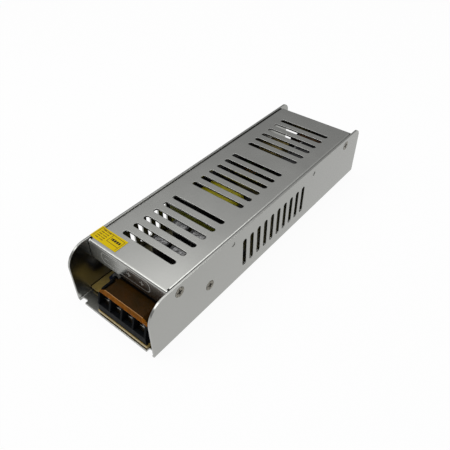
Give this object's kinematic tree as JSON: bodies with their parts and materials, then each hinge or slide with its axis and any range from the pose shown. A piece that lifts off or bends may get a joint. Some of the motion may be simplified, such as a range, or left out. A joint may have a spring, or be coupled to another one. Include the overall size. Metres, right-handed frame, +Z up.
{
  "type": "enclosed power supply",
  "caption": "Slim enclosed power supply in a slotted folded-metal case, with screw terminals under a hinged lid at each end.",
  "frame": {"origin": "under the middle of the base plate, on its lower face", "axes": "+X across the case, +Y along the case from the output end to the input end, +Z up"},
  "size_m": [0.059, 0.2, 0.036],
  "materials": {
    "chassis_sheet": "satin, brushed along the case",
    "cover_sheet": "satin, brushed along the case",
    "sticker": "satin printed paper",
    "screw_steel": "bright zinc plating",
    "standoff_steel": "zinc plating",
    "board_laminate": "tan paper laminate, slight gloss",
    "black_film": "matt film",
    "barrier_film": "matt pressboard",
    "terminal_moulding": "fine satin moulding",
    "terminal_plating": "bright nickel plating",
    "contact_metal": "tinned brass",
    "amber_plastic": "clear amber, glossy",
    "dark_ferrite": "matt sintered",
    "green_ferrite": "coated",
    "winding_tape": "tape, slight gloss",
    "former_plastic": "moulded",
    "enamelled_copper": "enamelled wire",
    "can_aluminium": "drawn can",
    "black_sleeve": "shrink sleeve",
    "film_box": "moulded box",
    "bar_aluminium": "extruded bar",
    "thermal_pad": "soft silicone",
    "black_epoxy": "moulded epoxy",
    "green_disc": "dipped coating",
    "blue_disc": "dipped coating",
    "fuse_body": "white tube with plated caps",
    "trimmer_blue": "moulded",
    "trimmer_white": "moulded"
  },
  "bodies": {
    "case": {"base_chassis": "chassis_sheet", "top_cover": "cover_sheet", "front_sticker": "sticker", "cover_screws": "screw_steel", "heat_bar_screws": "screw_steel", "board_screws": "screw_steel", "output_device_screws": "screw_steel", "switch_device_screws": "screw_steel", "board_standoffs": "standoff_steel", "circuit_board": "board_laminate", "insulating_sheet": "black_film", "barrier_sheet": "barrier_film", "output_terminal_block": "terminal_moulding", "input_terminal_block": "terminal_moulding", "output_terminal_screws": "terminal_plating", "input_terminal_screws": "terminal_plating", "output_clamp_plates": "terminal_plating", "input_clamp_plates": "terminal_plating", "output_contact_bars": "contact_metal", "input_contact_bars": "contact_metal", "transformer_core": "dark_ferrite", "line_choke_core": "green_ferrite", "output_choke_cores": "green_ferrite", "transformer_winding": "winding_tape", "transformer_former": "former_plastic", "transformer_rails": "former_plastic", "line_choke_windings": "enamelled_copper", "output_choke_windings": "enamelled_copper", "output_capacitor_cans": "can_aluminium", "bulk_capacitor_can": "can_aluminium", "output_capacitor_sleeves": "black_sleeve", "bulk_capacitor_sleeve": "black_sleeve", "film_capacitor": "film_box", "output_heat_bar": "bar_aluminium", "switch_heat_bar": "bar_aluminium", "output_pads": "thermal_pad", "switch_pads": "thermal_pad", "output_diodes": "black_epoxy", "switching_transistors": "black_epoxy", "bridge_rectifier": "black_epoxy", "control_chip": "black_epoxy", "opto_coupler": "black_epoxy", "surge_thermistor": "green_disc", "safety_capacitors": "blue_disc", "line_fuse": "fuse_body", "trimmer_body": "trimmer_blue"},
    "output_lid": {"output_flip_cover": "amber_plastic"},
    "input_lid": {"input_flip_cover": "amber_plastic"},
    "trimmer_screw": {"trimmer_rotor": "trimmer_white"}
  },
  "joints": [
    {"name": "output_lid_hinge", "type": "hinge", "parent": "case", "child": "output_lid", "pos_m": [0.0057, -0.0863, 0.0172], "axis": [-1, 0, 0], "range_deg": [0, 55]},
    {"name": "input_lid_hinge", "type": "hinge", "parent": "case", "child": "input_lid", "pos_m": [-0.00135, 0.0863, 0.0172], "axis": [1, 0, 0], "range_deg": [0, 24]},
    {"name": "trimmer_turn", "type": "hinge", "parent": "case", "child": "trimmer_screw", "pos_m": [-0.01846, -0.0802, 0.0086], "axis": [0, 0, 1], "range_deg": [-135, 135]}
  ]
}
